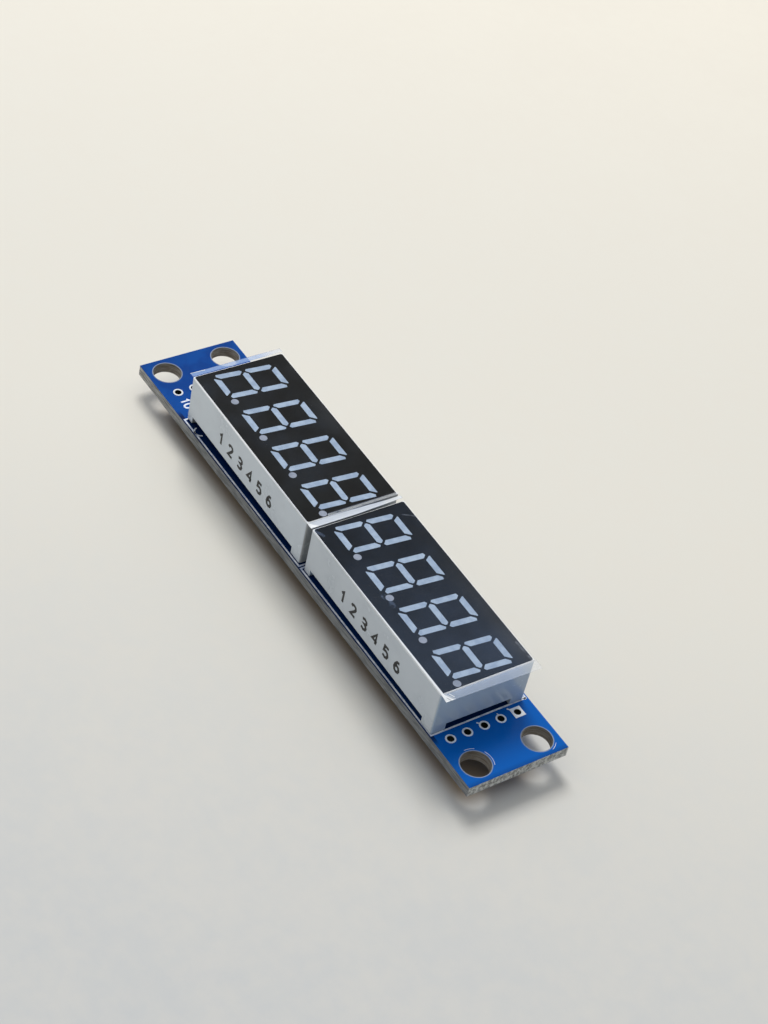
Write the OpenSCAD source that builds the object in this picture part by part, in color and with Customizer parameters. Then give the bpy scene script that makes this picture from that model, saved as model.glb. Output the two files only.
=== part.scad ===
// Eight-digit seven-segment display module: two four-digit LED displays stand end to end
// on one blue circuit board, and the chip that drives them is soldered underneath.
// Frame: +X is the reading direction along the board, +Y points to the tops of the digits
// and +Z out of the display faces. The origin is the middle of the board in plan, at the
// level the module rests on, which is the flat top of the driver chip's package.

/* [Circuit board] */
// Width of board left bare beside each long wall of the displays
board_side = 0.5; // [0.3:0.05:3]
// Thickness of the laminate
board_t = 1.6; // [0.8:0.1:2.4]
// Thickness of the tinned copper on the faces and in the drilled holes
copper_t = 0.05; // [0.03:0.01:0.08]

/* [Mounting holes] */
// Diameter of the four holes near the corners
mount_hole_d = 4; // [3:0.1:4.6]
// Distance of their centres from the board's ends
mount_end_inset = 2.75; // [2.5:0.05:3]
// Distance of their centres from the board's long edges
mount_side_inset = 2.85; // [2.6:0.05:3.2]

/* [Header holes] */
// Number of holes in the row at each end
header_count = 5; // [2:1:5]
// Distance from hole to hole
header_pitch = 2.54; // [2:0.01:2.6]
// Finished diameter of a header hole
header_hole_d = 0.95; // [0.8:0.05:1.1]
// Diameter of a round header pad
header_ring_d = 1.4; // [1.3:0.02:1.56]
// Side of the square first pad of each row
header_pad_d = 1.56; // [1.56:0.02:1.8]
// Gap between the left mounting holes and the pads of the left row
left_header_gap = 1.42; // [0.5:0.01:3]
// Gap between the right mounting holes and the pads of the right row
right_header_gap = 1.77; // [0.5:0.01:3]
// Offset of both rows from the board's long centre line
header_offset_y = -0.2; // [-0.4:0.05:0.4]

/* [Displays] */
// Width of one display
display_w = 14; // [12:0.1:17]
// Height of one display from its feet to its face
display_h = 7.2; // [6.2:0.1:9]
// Slot between the two displays
display_gap = 1; // [0.4:0.1:1.4]
// Gap between the pads of the left row and the left display
left_end_gap = 4.27; // [3.2:0.01:8]
// Gap between the pads of the right row and the right display
right_end_gap = 0.72; // [0.4:0.01:8]
// Angle in degrees that the displays stand askew, within the play of their pins
display_turn = 0.65; // [0:0.05:0.8]
// Distance that each display stands off the centre line, left one up and right one down
display_offset_y = 0.12; // [0:0.01:0.14]
// Gap under the feet of the left display, which its pins hold off the board
left_lift = 0.2; // [0:0.01:0.3]
// Gap under the feet of the right display
right_lift = 0.1; // [0:0.01:0.3]

/* [Display housing] */
// Thickness of the housing's side walls
wall_t = 0.9; // [0.7:0.05:1.1]
// Radius of the housing's upright corners
corner_r = 0.3; // [0.1:0.05:0.5]
// Bevel along the top edges of the housing
edge_bevel = 0.12; // [0.05:0.01:0.2]
// Height of the feet, which leaves a slot under each wall
foot_h = 1.05; // [0.6:0.05:1.2]
// Length of the feet at the left end of the long walls
left_foot_l = 1.4; // [1.2:0.05:3]
// Length of the feet at the right end of the long walls
right_foot_l = 2.15; // [1.2:0.05:3]
// Length of the feet on the end walls
end_foot_l = 2.15; // [1.2:0.05:3]
// Depth of the moulded block that holds the light wells
well_depth = 3.8; // [3:0.1:4.2]
// Share of a well's size at its face that is left at its bottom
well_taper = 0.8; // [0.7:0.05:0.95]
// Width of the pale rim left round the black face
face_rim = 0.05; // [0.03:0.01:0.3]
// Thickness of the black face foil
foil_t = 0.1; // [0.05:0.01:0.2]

/* [Digits] */
// Number of digits in one display
digit_count = 4; // [1:1:4]
// Distance from digit to digit
digit_pitch = 7.6; // [6.4:0.05:9]
// Height of a digit
digit_h = 9.2; // [7.6:0.1:11]
// Width of a digit, measured square to its slant
digit_w = 4.92; // [4.2:0.02:5.8]
// Lean of the digits from upright in degrees
slant = 5; // [0:0.5:6]
// Width of a segment
segment_w = 0.86; // [0.7:0.02:0.95]
// Distance of the ends of the top and bottom segments inside the digit's sides
bar_inset = 0.66; // [0.6:0.01:0.9]
// Distance of the ends of the middle segment inside the digit's sides
middle_inset = 0.59; // [0.5:0.01:0.9]
// Height of the upright segments' ends above the digit's middle
upright_start = 0.25; // [0.2:0.01:0.3]
// Distance of the upright segments' far ends from the top of the digit
upright_drop = 0.47; // [0.44:0.01:0.52]
// Diameter of a decimal point
point_d = 1.06; // [0.9:0.02:1.3]
// Gap between the lower right segment and the decimal point
point_gap = 0.2; // [0.1:0.01:0.6]
// Width of black face left beyond the last decimal point
point_margin = 0.123; // [0.01:0.001:1]
// Height of a decimal point's centre above the foot of the digit
point_rise = 0.45; // [0.4:0.01:0.6]

/* [Inside each display] */
// Thickness of the small board that carries the light chips
led_board_t = 1; // [0.8:0.05:1.2]
// Play between that board and the housing walls
led_board_play = 0.15; // [0.1:0.01:0.3]
// Side of a light chip
led_side = 0.35; // [0.25:0.01:0.4]
// Height of a light chip
led_h = 0.2; // [0.1:0.01:0.3]
// Depth of the casting resin below the small board
resin_t = 1.1; // [0.6:0.05:1.2]

/* [Display pins] */
// Number of pins in each of a display's two rows
pin_count = 6; // [2:1:6]
// Distance from pin to pin
pin_pitch = 2.54; // [2.3:0.01:2.6]
// Distance of each row inside the outer face of the long wall beside it
pin_row_inset = 1.92; // [1.4:0.01:3]
// Diameter of a pin
pin_d = 0.5; // [0.4:0.01:0.7]
// Length of pin that is left below the board after trimming
pin_trim = 1.4; // [1.1:0.05:1.8]
// Gap all round a pin in its plated hole
pin_play = 0.25; // [0.2:0.01:0.35]
// Width of the pad's ring round that hole
pin_ring = 0.35; // [0.2:0.01:0.4]
// Height of the solder cone on a pin
pin_solder_h = 0.9; // [0.7:0.05:1]

/* [Protective films] */
// Thickness of a film
film_t = 0.08; // [0.05:0.01:0.12]
// Length of film past the outer end of a display
film_outer = 1.2; // [0.2:0.05:1.4]
// Gap between the two films over the slot
film_gap = 0.1; // [0.05:0.01:0.3]
// Width of film past the long wall at the tops of the digits
film_side = 0.15; // [0:0.01:0.2]

/* [Driver chip] */
// Distance from the last lead on a side to the end of the package
driver_end = 0.715; // [0.5:0.005:1]
// Width of the package
driver_w = 7.5; // [6:0.1:9]
// Thickness of the package
driver_t = 2.35; // [2.1:0.05:2.6]
// Gap between the package and the board
driver_standoff = 0.2; // [0.15:0.01:0.3]
// Inset of the package's faces from its parting line
driver_draft = 0.18; // [0.1:0.01:0.25]
// Number of leads on each side
lead_count = 12; // [4:1:12]
// Distance from lead to lead
lead_pitch = 1.27; // [1.1:0.01:1.28]
// Distance that a lead reaches out of the package
lead_reach = 1.4; // [1.15:0.01:1.7]
// Width of a lead
lead_w = 0.42; // [0.35:0.01:0.5]
// Thickness of a lead
lead_t = 0.25; // [0.2:0.01:0.3]
// Length of the flat foot of a lead
lead_foot = 0.75; // [0.6:0.01:0.9]
// Diameter of the dimple that marks the first lead
dimple_d = 1.2; // [0.8:0.1:1.5]
// Depth of the dimple
dimple_t = 0.1; // [0.05:0.01:0.2]

/* [Small parts under the board] */
// Length of the resistor and of the small capacitor
chip_part_l = 2; // [1.8:0.05:2.2]
// Width of the resistor and of the small capacitor
chip_part_w = 1.25; // [1.1:0.05:1.4]
// Thickness of the resistor
resistor_t = 0.5; // [0.4:0.05:0.65]
// Thickness of the small capacitor
small_cap_t = 0.85; // [0.6:0.05:1.2]
// Length of the metal caps on their ends
end_cap_l = 0.4; // [0.25:0.05:0.5]
// Thickness of the metal of those caps
end_cap_t = 0.05; // [0.03:0.01:0.08]
// Length of the bulk capacitor's moulded body
bulk_cap_l = 3.2; // [3:0.05:3.4]
// Width of the bulk capacitor
bulk_cap_w = 1.6; // [1.5:0.05:1.8]
// Height of the bulk capacitor
bulk_cap_t = 1.6; // [1.4:0.05:1.8]
// Thickness of the bulk capacitor's metal tabs
bulk_tab_t = 0.12; // [0.1:0.01:0.15]
// Distance of the small parts' first column beyond the left display's end
parts_offset = 1; // [0.5:0.05:1.4]
// Distance between the two columns of small parts
parts_column = 4.7; // [3.8:0.05:6]
// Distance between the two rows of small parts
parts_row = 2.8; // [2.2:0.05:3.2]

/* [Hidden] */
$fn = 48;
// Overlap that cuts reach past a face
past = 0.5;
left = -1;
right = 1;

// A decimal point's place on its digit, beside the slanted lower right segment
point_y = point_rise - digit_h / 2;
point_x = digit_w / 2 + point_y * tan(slant) + point_gap + point_d / 2;
// Lengths along the board, from what stands on it
end_margin = point_x + point_d / 2 + point_margin + face_rim + edge_bevel;
display_l = (digit_count - 1) * digit_pitch + 2 * end_margin;
mount_reach = mount_end_inset + mount_hole_d / 2;
left_end_l = mount_reach + left_header_gap + header_pad_d + left_end_gap;
right_end_l = mount_reach + right_header_gap + header_pad_d + right_end_gap;
board_l = left_end_l + 2 * display_l + display_gap + right_end_l;
board_w = display_w + 2 * board_side;
pair_x = (left_end_l - right_end_l) / 2;
pin_row_gap = display_w - 2 * pin_row_inset;
pin_hole_d = pin_d + 2 * pin_play;
pin_pad_d = pin_hole_d + 2 * pin_ring;
driver_l = (lead_count - 1) * lead_pitch + 2 * driver_end;
lead_span = driver_w + 2 * lead_reach;

// Levels, from the surface that the module rests on
board_bottom = driver_t + driver_standoff;
board_top = board_bottom + board_t;
// Levels inside a display, from its feet
wells_bottom = display_h - well_depth;
foil_bottom = display_h - foil_t;
resin_bottom = wells_bottom - led_board_t - resin_t;

mount_x = board_l / 2 - mount_end_inset;
mount_y = board_w / 2 - mount_side_inset;
barrel_d = header_hole_d + 2 * copper_t;
pin_barrel_d = pin_hole_d + 2 * copper_t;
solder_pad_t = copper_t;

function side_x(side) = pair_x + side * (display_gap + display_l) / 2;
function header_x(side) = let(gap = side == left ? left_header_gap : right_header_gap)
    side * (board_l / 2 - mount_reach - gap - header_pad_d / 2);
function lift(side) = side == left ? left_lift : right_lift;
// Places of a row of count things, pitch apart, about its middle
function row(count, pitch) = [for (i = [0:count - 1]) (i - (count - 1) / 2) * pitch];

// Places its children on the board where a display stands
module at_display(side) {
    translate([side_x(side), -side * display_offset_y, board_top + lift(side)])
        rotate(-display_turn)
            children();
}

// Places its children under the board, built up from its lower face
module under_board(at = [0, 0]) {
    translate([at.x, at.y, board_bottom])
        mirror([0, 0, 1])
            children();
}

// Places its children at each header hole of one end
module at_header(side) {
    for (y = row(header_count, header_pitch))
        translate([header_x(side), header_offset_y + y, 0])
            children();
}

// Places its children at each pin of a display, given in the display's own frame
module at_pins() {
    for (x = row(pin_count, pin_pitch), y = row(2, pin_row_gap))
        translate([x, y, 0])
            children();
}

// Rectangle with round corners
module rounded_rect(l, w, r) {
    square([l - 2 * r, w], center = true);
    square([l, w - 2 * r], center = true);
    for (x = [-1, 1], y = [-1, 1])
        translate([x * (l / 2 - r), y * (w / 2 - r)])
            circle(r);
}

// The laminate, with its mounting holes and the drillings for the plated holes
module circuit_board() {
    color([0.05, 0.30, 0.62])
        difference() {
            translate([-board_l / 2, -board_w / 2, board_bottom])
                cube([board_l, board_w, board_t]);
            for (x = [-mount_x, mount_x], y = [-mount_y, mount_y])
                translate([x, y, board_bottom - past])
                    cylinder(h = board_t + 2 * past, d = mount_hole_d);
            for (side = [left, right]) {
                at_header(side)
                    translate([0, 0, board_bottom - past])
                        cylinder(h = board_t + 2 * past, d = barrel_d);
                translate([side_x(side), 0, 0])
                    at_pins()
                        translate([0, 0, board_bottom - past])
                            cylinder(h = board_t + 2 * past, d = pin_barrel_d);
            }
        }
}

// One plated hole: a tube through the board with a pad on each face
module plated_hole(hole_d, pad_d, square_pad = false) {
    difference() {
        union() {
            translate([0, 0, board_bottom])
                cylinder(h = board_t, d = hole_d + 2 * copper_t);
            for (z = [board_bottom - copper_t, board_top])
                translate([0, 0, z])
                    if (square_pad)
                        translate([-pad_d / 2, -pad_d / 2, 0]) cube([pad_d, pad_d, copper_t]);
                    else
                        cylinder(h = copper_t, d = pad_d);
        }
        translate([0, 0, board_bottom - past])
            cylinder(h = board_t + 2 * past, d = hole_d);
    }
}

// The header row of one end, whose first pad, at the top of the digits, is square
module header_pads(side) {
    color([0.80, 0.81, 0.82]) {
        ys = row(header_count, header_pitch);
        for (i = [0:header_count - 1]) {
            square_pad = i == header_count - 1;
            translate([header_x(side), header_offset_y + ys[i], 0])
                plated_hole(header_hole_d, square_pad ? header_pad_d : header_ring_d, square_pad);
        }
    }
}

// The plated holes that take the pins of one display
module display_pads(side) {
    color([0.80, 0.81, 0.82])
        translate([side_x(side), 0, 0])
            at_pins()
                plated_hole(pin_hole_d, pin_pad_d);
}

// Outline of the upper right segment, square to the slant, with blunt mitred ends
function upright_outline() = let(
    x1 = digit_w / 2,
    x0 = x1 - segment_w,
    y0 = upright_start,
    y1 = digit_h / 2 - upright_drop
) [
    [x0, y0 + 0.62 * segment_w], [x1 - 0.34 * segment_w, y0], [x1, y0 + 0.26 * segment_w],
    [x1, y1 - 0.14 * segment_w], [x1 - 0.44 * segment_w, y1], [x0, y1 - 0.58 * segment_w]
];
// Outline of the top segment, whose longer edge is the outer one
function bar_outline() = let(
    y1 = digit_h / 2,
    y0 = y1 - segment_w,
    bar_half = digit_w / 2 - bar_inset,
    inner = bar_half - 0.66 * segment_w
) [
    [-inner, y0], [inner, y0], [bar_half, y1 - 0.12 * segment_w], [bar_half - 0.08 * segment_w, y1],
    [0.08 * segment_w - bar_half, y1], [-bar_half, y1 - 0.12 * segment_w]
];
// Outline of the middle segment, pointed at both ends
function middle_outline() = let(
    x1 = digit_w / 2 - middle_inset,
    x0 = x1 - 0.36 * segment_w,
    y1 = segment_w / 2
) [
    [-x0, -y1], [x0, -y1], [x1, -0.2 * y1], [x1, 0.2 * y1],
    [x0, y1], [-x0, y1], [-x1, 0.2 * y1], [-x1, -0.2 * y1]
];
function flipped(points, sx, sy) = [for (p = points) [sx * p.x, sy * p.y]];
function slanted(p) = [p.x + p.y * tan(slant), p.y];
bar_y = (digit_h - segment_w) / 2;
upright_x = (digit_w - segment_w) / 2;
upright_y = (upright_start + digit_h / 2 - upright_drop) / 2;

// Each segment of a digit as its centre and its outline
SEGMENTS = concat(
    [[[0, 0], middle_outline()]],
    [for (s = [-1, 1]) [[0, s * bar_y], flipped(bar_outline(), 1, s)]],
    [for (sx = [-1, 1], sy = [-1, 1])
        [[sx * upright_x, sy * upright_y], flipped(upright_outline(), sx, sy)]]
);
point_at = [point_x, point_y];

// Places its children at each digit's middle, in the display's own frame
module at_digits() {
    for (x = row(digit_count, digit_pitch))
        translate([x, 0, 0])
            children();
}

// One segment's window through the foil, with its well narrowing down from there
module segment_plug(segment) {
    centre = slanted(segment[0]);
    outline = [for (p = segment[1]) slanted(p) - centre];
    translate([centre.x, centre.y, foil_bottom]) {
        linear_extrude(height = foil_t)
            polygon(outline);
        mirror([0, 0, 1])
            linear_extrude(height = foil_bottom - wells_bottom, scale = well_taper)
                polygon(outline);
    }
}

// A decimal point's round window and the cone of its well
module point_plug() {
    translate([point_at.x, point_at.y, 0]) {
        translate([0, 0, foil_bottom])
            cylinder(h = foil_t, d = point_d);
        translate([0, 0, wells_bottom])
            cylinder(h = foil_bottom - wells_bottom, d1 = point_d * well_taper, d2 = point_d);
    }
}

// Straight bar of a given length along X, whose end view is a rectangle with bevelled top corners
module bevelled_bar(l, w, h, bevel) {
    rotate([90, 0, 90])
        linear_extrude(height = l, center = true)
            polygon([
                [-w / 2, 0], [w / 2, 0], [w / 2, h - bevel], [w / 2 - bevel, h],
                [bevel - w / 2, h], [-w / 2, h - bevel]
            ]);
}

// Body of the housing, with a bevel round its top edges
module housing_block() {
    intersection() {
        linear_extrude(height = display_h)
            rounded_rect(display_l, display_w, corner_r);
        bevelled_bar(display_l, display_w, display_h, edge_bevel);
        rotate(90)
            bevelled_bar(display_w, display_l, display_h, edge_bevel);
    }
}

// Space inside the walls that the small board and the resin fill
module back_space(z0, z1, play = 0) {
    translate([0, 0, z0])
        linear_extrude(height = z1 - z0)
            rounded_rect(
                display_l - 2 * (wall_t + play), display_w - 2 * (wall_t + play), corner_r
            );
}

// Slots under the four walls, which leave a foot at each corner
module foot_slots() {
    slot_l = display_l - left_foot_l - right_foot_l;
    end_l = display_w - 2 * end_foot_l;
    translate([left_foot_l - display_l / 2, -display_w / 2 - past, -past])
        cube([slot_l, display_w + 2 * past, foot_h + past]);
    translate([-display_l / 2 - past, -end_l / 2, -past])
        cube([display_l + 2 * past, end_l, foot_h + past]);
}

// The reflector housing: one moulding with a light well for every segment and point
module housing(side) {
    color([0.78, 0.80, 0.83])
        at_display(side)
            difference() {
                housing_block();
                back_space(-past, wells_bottom);
                foot_slots();
                face_area(foil_bottom, display_h + past);
                at_digits() {
                    for (segment = SEGMENTS)
                        segment_plug(segment);
                    point_plug();
                }
            }
}

// The face inside its rim, between two levels
module face_area(z0, z1) {
    translate([0, 0, z0])
        linear_extrude(height = z1 - z0)
            rounded_rect(
                display_l - 2 * (edge_bevel + face_rim), display_w - 2 * (edge_bevel + face_rim), corner_r
            );
}

// The black face, with a window for every segment and point
module face_foil(side) {
    color([0.10, 0.12, 0.15])
        at_display(side)
            difference() {
                face_area(foil_bottom, display_h);
                at_digits() {
                    for (segment = SEGMENTS)
                        translate([0, 0, foil_bottom - past])
                            linear_extrude(height = foil_t + 2 * past)
                                polygon([for (p = segment[1]) slanted(p)]);
                    translate([point_at.x, point_at.y, foil_bottom - past])
                        cylinder(h = foil_t + 2 * past, d = point_d);
                }
            }
}

// One light chip on the small board
module light_chip(at) {
    translate([at.x - led_side / 2, at.y - led_side / 2, wells_bottom])
        cube([led_side, led_side, led_h]);
}

// Milky resin cast in the segment wells, over the light chips
module segment_lenses(side) {
    color([0.72, 0.77, 0.90])
        at_display(side)
            at_digits()
                for (segment = SEGMENTS)
                    difference() {
                        segment_plug(segment);
                        light_chip(slanted(segment[0]));
                    }
}

// Milky resin cast in the wells of the decimal points
module point_lenses(side) {
    color([0.66, 0.69, 0.76])
        at_display(side)
            at_digits()
                difference() {
                    point_plug();
                    light_chip(point_at);
                }
}

// The light chips, one in the bottom of each well
module light_chips(side) {
    color([0.85, 0.75, 0.35])
        at_display(side)
            at_digits() {
                for (segment = SEGMENTS)
                    light_chip(slanted(segment[0]));
                light_chip(point_at);
            }
}

// The small board inside a display, which holds the pins
module led_board(side) {
    color([0.88, 0.86, 0.74])
        at_display(side)
            difference() {
                back_space(wells_bottom - led_board_t, wells_bottom, led_board_play);
                at_pins()
                    translate([0, 0, wells_bottom - led_board_t - past])
                        cylinder(h = led_board_t + 2 * past, d = pin_d);
            }
}

// Resin that seals the back of a display, round the edge of the small board too
module back_resin(side) {
    color([0.86, 0.86, 0.84])
        at_display(side)
            difference() {
                back_space(resin_bottom, wells_bottom);
                back_space(wells_bottom - led_board_t, wells_bottom + past, led_board_play);
                at_pins()
                    translate([0, 0, resin_bottom - past])
                        cylinder(h = resin_t + 2 * past, d = pin_d);
            }
}

// One pin, from the top of the small board to its trimmed end below the circuit board
module pin(side) {
    reach = lift(side) + board_t + pin_trim;
    translate([0, 0, -reach])
        cylinder(h = wells_bottom + reach, d = pin_d);
}

module display_pins(side) {
    color([0.82, 0.82, 0.80])
        at_display(side)
            at_pins()
                pin(side);
}

// Solder of one joint: it fills the plated hole and climbs the pin in a hollow cone
module solder_joint() {
    reach = (pin_pad_d - pin_d) / 2;
    centre_x = (pin_solder_h * pin_solder_h - reach * reach) / (2 * reach);
    translate([0, 0, board_bottom - copper_t])
        cylinder(h = board_t + 2 * copper_t, d = pin_hole_d);
    under_board()
        translate([0, 0, copper_t])
            rotate_extrude()
                difference() {
                    square([pin_pad_d / 2, pin_solder_h]);
                    translate([pin_pad_d / 2 + centre_x, pin_solder_h])
                        circle(reach + centre_x);
                }
}

module pin_solder(side) {
    color([0.72, 0.73, 0.75])
        difference() {
            translate([side_x(side), 0, 0])
                at_pins()
                    solder_joint();
            at_display(side)
                at_pins()
                    pin(side);
        }
}

// Clear film stuck on a display's face, left hanging over its outer end
module film(side) {
    inner = (display_gap - film_gap) / 2;
    x0 = -display_l / 2 - (side == left ? film_outer : inner);
    x1 = display_l / 2 + (side == left ? inner : film_outer);
    color([0.80, 0.88, 0.95, 0.4])
        at_display(side)
            translate([x0, -display_w / 2, display_h])
                cube([x1 - x0, display_w + film_side, film_t]);
}

// Bar of the package's height along X, whose end view narrows from the parting line
module drafted_bar(l, w) {
    h = driver_t / 2;
    rotate([90, 0, 90])
        linear_extrude(height = l, center = true)
            polygon([
                [driver_draft - w / 2, -h], [w / 2 - driver_draft, -h], [w / 2, 0],
                [w / 2 - driver_draft, h], [driver_draft - w / 2, h], [-w / 2, 0]
            ]);
}

// Height of the parting line above the board, where the leads leave the package
parting = driver_standoff + driver_t / 2;

// The driver chip's moulded package, with the dimple by its first lead
module driver_chip() {
    color([0.12, 0.12, 0.13])
        under_board([pair_x, 0])
            difference() {
                translate([0, 0, parting])
                    intersection() {
                        drafted_bar(driver_l, driver_w);
                        rotate(90)
                            drafted_bar(driver_w, driver_l);
                    }
                translate([dimple_d - driver_l / 2, dimple_d - driver_w / 2, parting + driver_t / 2 - dimple_t])
                    cylinder(h = dimple_t + past, d = dimple_d);
            }
}

// Points of an arc about a centre
function arc(centre, r, a0, a1, steps = 5) =
    [for (i = [0:steps]) let(a = a0 + (a1 - a0) * i / steps) centre + r * [cos(a), sin(a)]];

// Side view of a lead: out of the package, down round two bends and along the pad
module lead_profile() {
    bend = lead_t * 0.8;
    outer = bend + lead_t;
    shoulder = lead_span / 2 - lead_foot - lead_t;
    pad_z = solder_pad_t;
    top_z = parting + lead_t / 2;
    polygon(concat(
        [[driver_w / 2, top_z]],
        arc([shoulder, top_z - outer], outer, 90, 0),
        arc([shoulder + outer + bend, pad_z + outer], bend, 180, 270),
        [[lead_span / 2, pad_z + lead_t], [lead_span / 2, pad_z]],
        arc([shoulder + outer + bend, pad_z + outer], outer, 270, 180),
        arc([shoulder, top_z - outer], bend, 0, 90),
        [[driver_w / 2, top_z - lead_t]]
    ));
}

// Places its children at each lead, pointing out along +X, with sides turned outwards
module at_leads() {
    under_board([pair_x, 0])
        for (x = row(lead_count, lead_pitch), turn = [90, -90])
            translate([x, 0, 0])
                rotate(turn)
                    children();
}

module driver_leads() {
    color([0.75, 0.76, 0.78])
        at_leads()
            rotate([90, 0, 0])
                linear_extrude(height = lead_w, center = true)
                    lead_profile();
}

// Tinned pad under a lead's foot, with a wedge of solder at the toe
module driver_solder() {
    toe = 0.45;
    pad_l = lead_foot + 2 * toe;
    pad_w = lead_w + 0.2;
    color([0.80, 0.81, 0.82])
        at_leads() {
            translate([lead_span / 2 + toe - pad_l, -pad_w / 2, 0])
                cube([pad_l, pad_w, solder_pad_t]);
            rotate([90, 0, 0])
                linear_extrude(height = lead_w, center = true)
                    polygon([
                        [lead_span / 2, solder_pad_t], [lead_span / 2 + 0.8 * toe, solder_pad_t],
                        [lead_span / 2, solder_pad_t + 0.8 * lead_t]
                    ]);
        }
}

// Places of the small parts: bulk capacitor, small capacitor and resistor
first_column = side_x(left) - display_l / 2 - parts_offset;
bulk_at = [first_column, parts_row];
small_cap_at = [first_column, 0];
resistor_at = [first_column + parts_column, 0];

// Ceramic body of a chip part, standing on its solder pads
module chip_body(l, w, t) {
    translate([-l / 2 + end_cap_t, -w / 2 + end_cap_t, solder_pad_t + end_cap_t])
        cube([l - 2 * end_cap_t, w - 2 * end_cap_t, t - 2 * end_cap_t]);
}

// Metal caps wrapped round both ends of a chip part
module chip_caps(l, w, t) {
    difference() {
        for (end = [0, 1])
            mirror([end, 0, 0])
                translate([l / 2 - end_cap_l, -w / 2, solder_pad_t])
                    cube([end_cap_l, w, t]);
        chip_body(l, w, t);
    }
}

module resistor() {
    color([0.13, 0.13, 0.14])
        under_board(resistor_at)
            chip_body(chip_part_l, chip_part_w, resistor_t);
}

module resistor_caps() {
    color([0.80, 0.81, 0.82])
        under_board(resistor_at)
            chip_caps(chip_part_l, chip_part_w, resistor_t);
}

module small_capacitor() {
    color([0.66, 0.52, 0.36])
        under_board(small_cap_at)
            chip_body(chip_part_l, chip_part_w, small_cap_t);
}

module small_capacitor_caps() {
    color([0.80, 0.81, 0.82])
        under_board(small_cap_at)
            chip_caps(chip_part_l, chip_part_w, small_cap_t);
}

// Moulded body of the bulk capacitor, between its tabs
module bulk_capacitor() {
    color([0.80, 0.62, 0.20])
        under_board(bulk_at)
            translate([bulk_tab_t - bulk_cap_l / 2, -bulk_cap_w / 2, solder_pad_t + bulk_tab_t])
                cube([bulk_cap_l - 2 * bulk_tab_t, bulk_cap_w, bulk_cap_t - bulk_tab_t]);
}

// Tabs that leave the body half way up each end and fold under it
module bulk_capacitor_tabs() {
    tab_w = 0.75 * bulk_cap_w;
    tab_foot = 0.25 * bulk_cap_l;
    color([0.80, 0.81, 0.82])
        under_board(bulk_at)
            for (end = [0, 1])
                mirror([end, 0, 0]) {
                    translate([bulk_cap_l / 2 - tab_foot, -tab_w / 2, solder_pad_t])
                        cube([tab_foot, tab_w, bulk_tab_t]);
                    translate([bulk_cap_l / 2 - bulk_tab_t, -tab_w / 2, solder_pad_t])
                        cube([bulk_tab_t, tab_w, bulk_cap_t / 2]);
                }
}

// Tinned pads under both ends of one part, with a wedge of solder on each
module end_solder(l, w, cap_l, height) {
    toe = 0.4;
    pad_l = cap_l + toe;
    for (end = [0, 1])
        mirror([end, 0, 0]) {
            translate([l / 2 - cap_l, -w / 2, 0])
                cube([pad_l, w, solder_pad_t]);
            translate([0, w / 2, 0])
                rotate([90, 0, 0])
                    linear_extrude(height = w)
                        polygon([
                            [l / 2, solder_pad_t], [l / 2 + 0.8 * toe, solder_pad_t],
                            [l / 2, solder_pad_t + height]
                        ]);
        }
}

module small_part_solder() {
    color([0.80, 0.81, 0.82]) {
        under_board(resistor_at)
            end_solder(chip_part_l, chip_part_w, end_cap_l, 0.6 * resistor_t);
        under_board(small_cap_at)
            end_solder(chip_part_l, chip_part_w, end_cap_l, 0.6 * small_cap_t);
        under_board(bulk_at)
            end_solder(bulk_cap_l, 0.75 * bulk_cap_w, 0.25 * bulk_cap_l, 0.3 * bulk_cap_t);
    }
}

circuit_board();
header_pads(left);  // left_header_pads
header_pads(right);  // right_header_pads
display_pads(left);  // left_display_pads
display_pads(right);  // right_display_pads
housing(left);  // left_housing
housing(right);  // right_housing
face_foil(left);  // left_face_foil
face_foil(right);  // right_face_foil
segment_lenses(left);  // left_segment_lenses
segment_lenses(right);  // right_segment_lenses
point_lenses(left);  // left_point_lenses
point_lenses(right);  // right_point_lenses
light_chips(left);  // left_light_chips
light_chips(right);  // right_light_chips
led_board(left);  // left_led_board
led_board(right);  // right_led_board
back_resin(left);  // left_back_resin
back_resin(right);  // right_back_resin
display_pins(left);  // left_display_pins
display_pins(right);  // right_display_pins
pin_solder(left);  // left_pin_solder
pin_solder(right);  // right_pin_solder
film(left);  // left_film
film(right);  // right_film
driver_chip();
driver_leads();
driver_solder();
resistor();
resistor_caps();
small_capacitor();
small_capacitor_caps();
bulk_capacitor();
bulk_capacitor_tabs();
small_part_solder();
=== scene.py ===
# %% [markdown]
# # An eight-digit display module
# Two LED displays stand end to end on a blue circuit board. The solids come from the packed
# frame and are never moved. This lesson gives each of them its finish, lays the clear films,
# the white legend and the printed numbers on them, and lights a small table top.

# %% Load the frame
import math

import bpy
import numpy as np
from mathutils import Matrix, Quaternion, Vector


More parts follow.
